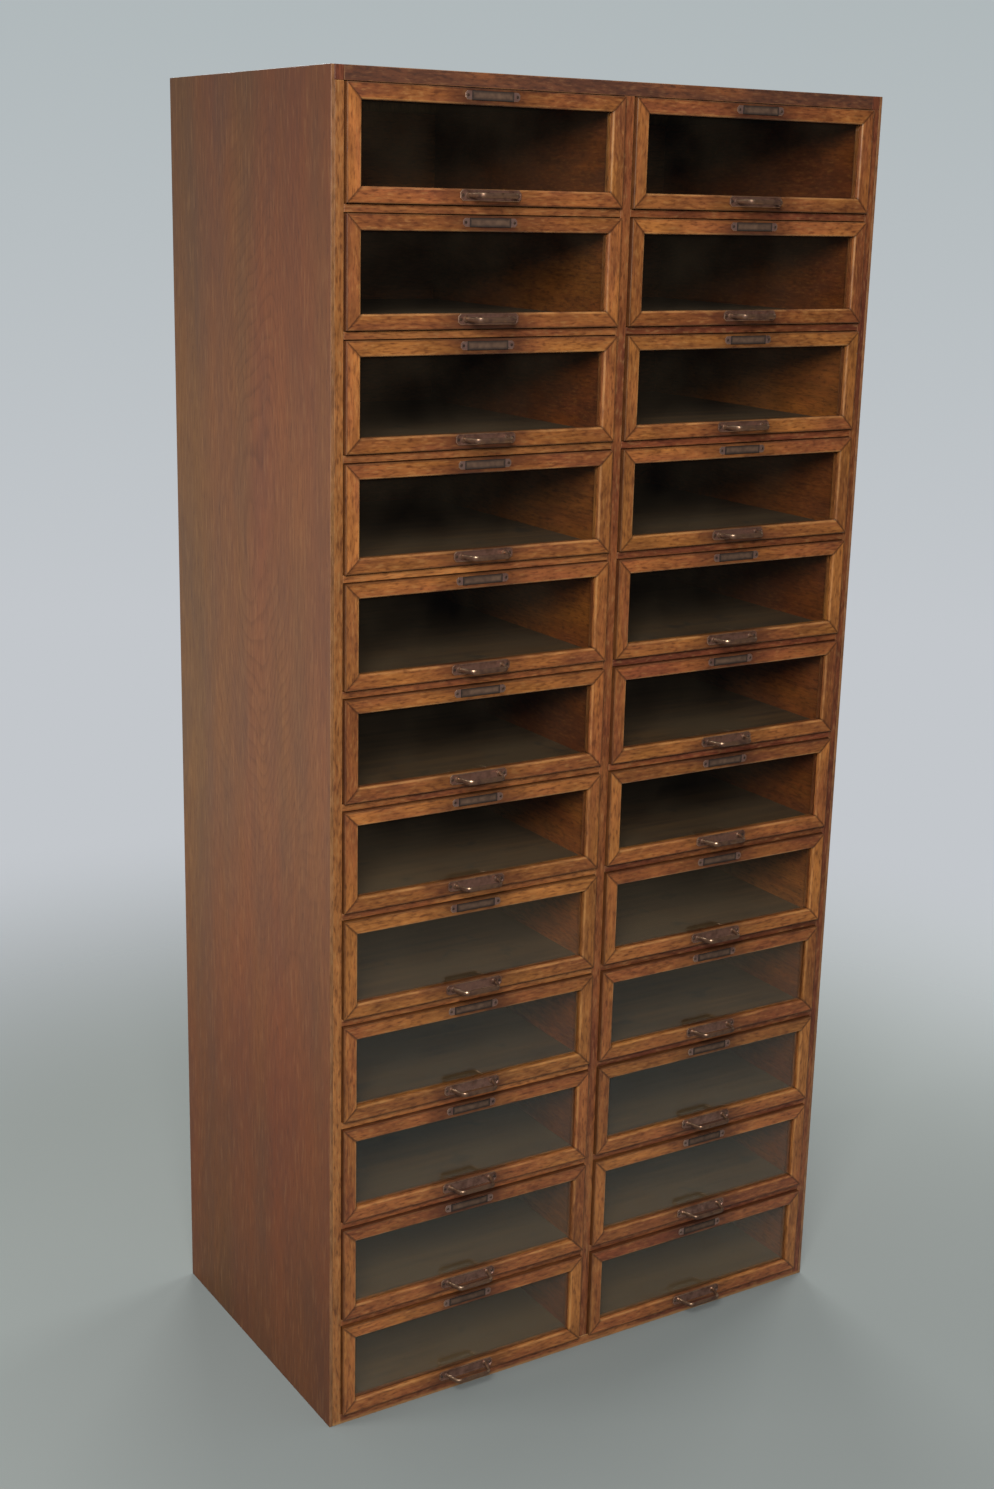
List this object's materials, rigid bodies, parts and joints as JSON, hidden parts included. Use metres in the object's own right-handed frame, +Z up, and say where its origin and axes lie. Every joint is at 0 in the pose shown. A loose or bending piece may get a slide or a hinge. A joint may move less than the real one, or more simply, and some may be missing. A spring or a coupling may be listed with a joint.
{
  "type": "haberdashery cabinet",
  "caption": "Tall floor-standing wooden shop cabinet with two columns of equal glass-fronted drawers, each with a label holder and a bow pull.",
  "frame": {"origin": "on the floor, at the middle of the carcass's base", "axes": "+Z up, +Y towards the back panel, +X to the right as seen from the front; the drawers slide out along -Y"},
  "size_m": [0.87, 0.5205, 1.85],
  "materials": {
    "side_veneer": "brown stained veneer, worn satin varnish",
    "face_wood": "orange brown stained hardwood, satin",
    "drawer_wood": "orange brown stained hardwood, satin",
    "inner_wood": "plain planed wood",
    "back_plywood": "plain plywood",
    "window_glass": "clear drawn glass"
  },
  "bodies": {
    "carcass": {"left_side_panel": "side_veneer", "right_side_panel": "side_veneer", "left_stile": "face_wood", "right_stile": "face_wood", "back_posts": "inner_wood", "top_board": "face_wood", "bottom_board": "face_wood", "back_panel": "back_plywood", "centre_muntin": "face_wood", "centre_partition": "inner_wood", "divider_rails": "face_wood", "drawer_runners": "inner_wood"},
    "left_drawer_01": {"left_drawer_01": "drawer_wood", "left_drawer_01_glass": "window_glass"},
    "left_drawer_02": {"left_drawer_02": "drawer_wood", "left_drawer_02_glass": "window_glass"},
    "left_drawer_03": {"left_drawer_03": "drawer_wood", "left_drawer_03_glass": "window_glass"},
    "left_drawer_04": {"left_drawer_04": "drawer_wood", "left_drawer_04_glass": "window_glass"},
    "left_drawer_05": {"left_drawer_05": "drawer_wood", "left_drawer_05_glass": "window_glass"},
    "left_drawer_06": {"left_drawer_06": "drawer_wood", "left_drawer_06_glass": "window_glass"},
    "left_drawer_07": {"left_drawer_07": "drawer_wood", "left_drawer_07_glass": "window_glass"},
    "left_drawer_08": {"left_drawer_08": "drawer_wood", "left_drawer_08_glass": "window_glass"},
    "left_drawer_09": {"left_drawer_09": "drawer_wood", "left_drawer_09_glass": "window_glass"},
    "left_drawer_10": {"left_drawer_10": "drawer_wood", "left_drawer_10_glass": "window_glass"},
    "left_drawer_11": {"left_drawer_11": "drawer_wood", "left_drawer_11_glass": "window_glass"},
    "left_drawer_12": {"left_drawer_12": "drawer_wood", "left_drawer_12_glass": "window_glass"},
    "right_drawer_01": {"right_drawer_01": "drawer_wood", "right_drawer_01_glass": "window_glass"},
    "right_drawer_02": {"right_drawer_02": "drawer_wood", "right_drawer_02_glass": "window_glass"},
    "right_drawer_03": {"right_drawer_03": "drawer_wood", "right_drawer_03_glass": "window_glass"},
    "right_drawer_04": {"right_drawer_04": "drawer_wood", "right_drawer_04_glass": "window_glass"},
    "right_drawer_05": {"right_drawer_05": "drawer_wood", "right_drawer_05_glass": "window_glass"},
    "right_drawer_06": {"right_drawer_06": "drawer_wood", "right_drawer_06_glass": "window_glass"},
    "right_drawer_07": {"right_drawer_07": "drawer_wood", "right_drawer_07_glass": "window_glass"},
    "right_drawer_08": {"right_drawer_08": "drawer_wood", "right_drawer_08_glass": "window_glass"},
    "right_drawer_09": {"right_drawer_09": "drawer_wood", "right_drawer_09_glass": "window_glass"},
    "right_drawer_10": {"right_drawer_10": "drawer_wood", "right_drawer_10_glass": "window_glass"},
    "right_drawer_11": {"right_drawer_11": "drawer_wood", "right_drawer_11_glass": "window_glass"},
    "right_drawer_12": {"right_drawer_12": "drawer_wood", "right_drawer_12_glass": "window_glass"}
  },
  "joints": [
    {"name": "left_drawer_01_slide", "type": "slide", "parent": "carcass", "child": "left_drawer_01", "axis": [0, -1, 0], "range_m": [0, 0.38]},
    {"name": "left_drawer_02_slide", "type": "slide", "parent": "carcass", "child": "left_drawer_02", "axis": [0, -1, 0], "range_m": [0, 0.38]},
    {"name": "left_drawer_03_slide", "type": "slide", "parent": "carcass", "child": "left_drawer_03", "axis": [0, -1, 0], "range_m": [0, 0.38]},
    {"name": "left_drawer_04_slide", "type": "slide", "parent": "carcass", "child": "left_drawer_04", "axis": [0, -1, 0], "range_m": [0, 0.38]},
    {"name": "left_drawer_05_slide", "type": "slide", "parent": "carcass", "child": "left_drawer_05", "axis": [0, -1, 0], "range_m": [0, 0.38]},
    {"name": "left_drawer_06_slide", "type": "slide", "parent": "carcass", "child": "left_drawer_06", "axis": [0, -1, 0], "range_m": [0, 0.38]},
    {"name": "left_drawer_07_slide", "type": "slide", "parent": "carcass", "child": "left_drawer_07", "axis": [0, -1, 0], "range_m": [0, 0.38]},
    {"name": "left_drawer_08_slide", "type": "slide", "parent": "carcass", "child": "left_drawer_08", "axis": [0, -1, 0], "range_m": [0, 0.38]},
    {"name": "left_drawer_09_slide", "type": "slide", "parent": "carcass", "child": "left_drawer_09", "axis": [0, -1, 0], "range_m": [0, 0.38]},
    {"name": "left_drawer_10_slide", "type": "slide", "parent": "carcass", "child": "left_drawer_10", "axis": [0, -1, 0], "range_m": [0, 0.38]},
    {"name": "left_drawer_11_slide", "type": "slide", "parent": "carcass", "child": "left_drawer_11", "axis": [0, -1, 0], "range_m": [0, 0.38]},
    {"name": "left_drawer_12_slide", "type": "slide", "parent": "carcass", "child": "left_drawer_12", "axis": [0, -1, 0], "range_m": [0, 0.38]},
    {"name": "right_drawer_01_slide", "type": "slide", "parent": "carcass", "child": "right_drawer_01", "axis": [0, -1, 0], "range_m": [0, 0.38]},
    {"name": "right_drawer_02_slide", "type": "slide", "parent": "carcass", "child": "right_drawer_02", "axis": [0, -1, 0], "range_m": [0, 0.38]},
    {"name": "right_drawer_03_slide", "type": "slide", "parent": "carcass", "child": "right_drawer_03", "axis": [0, -1, 0], "range_m": [0, 0.38]},
    {"name": "right_drawer_04_slide", "type": "slide", "parent": "carcass", "child": "right_drawer_04", "axis": [0, -1, 0], "range_m": [0, 0.38]},
    {"name": "right_drawer_05_slide", "type": "slide", "parent": "carcass", "child": "right_drawer_05", "axis": [0, -1, 0], "range_m": [0, 0.38]},
    {"name": "right_drawer_06_slide", "type": "slide", "parent": "carcass", "child": "right_drawer_06", "axis": [0, -1, 0], "range_m": [0, 0.38]},
    {"name": "right_drawer_07_slide", "type": "slide", "parent": "carcass", "child": "right_drawer_07", "axis": [0, -1, 0], "range_m": [0, 0.38]},
    {"name": "right_drawer_08_slide", "type": "slide", "parent": "carcass", "child": "right_drawer_08", "axis": [0, -1, 0], "range_m": [0, 0.38]},
    {"name": "right_drawer_09_slide", "type": "slide", "parent": "carcass", "child": "right_drawer_09", "axis": [0, -1, 0], "range_m": [0, 0.38]},
    {"name": "right_drawer_10_slide", "type": "slide", "parent": "carcass", "child": "right_drawer_10", "axis": [0, -1, 0], "range_m": [0, 0.38]},
    {"name": "right_drawer_11_slide", "type": "slide", "parent": "carcass", "child": "right_drawer_11", "axis": [0, -1, 0], "range_m": [0, 0.38]},
    {"name": "right_drawer_12_slide", "type": "slide", "parent": "carcass", "child": "right_drawer_12", "axis": [0, -1, 0], "range_m": [0, 0.38]}
  ]
}
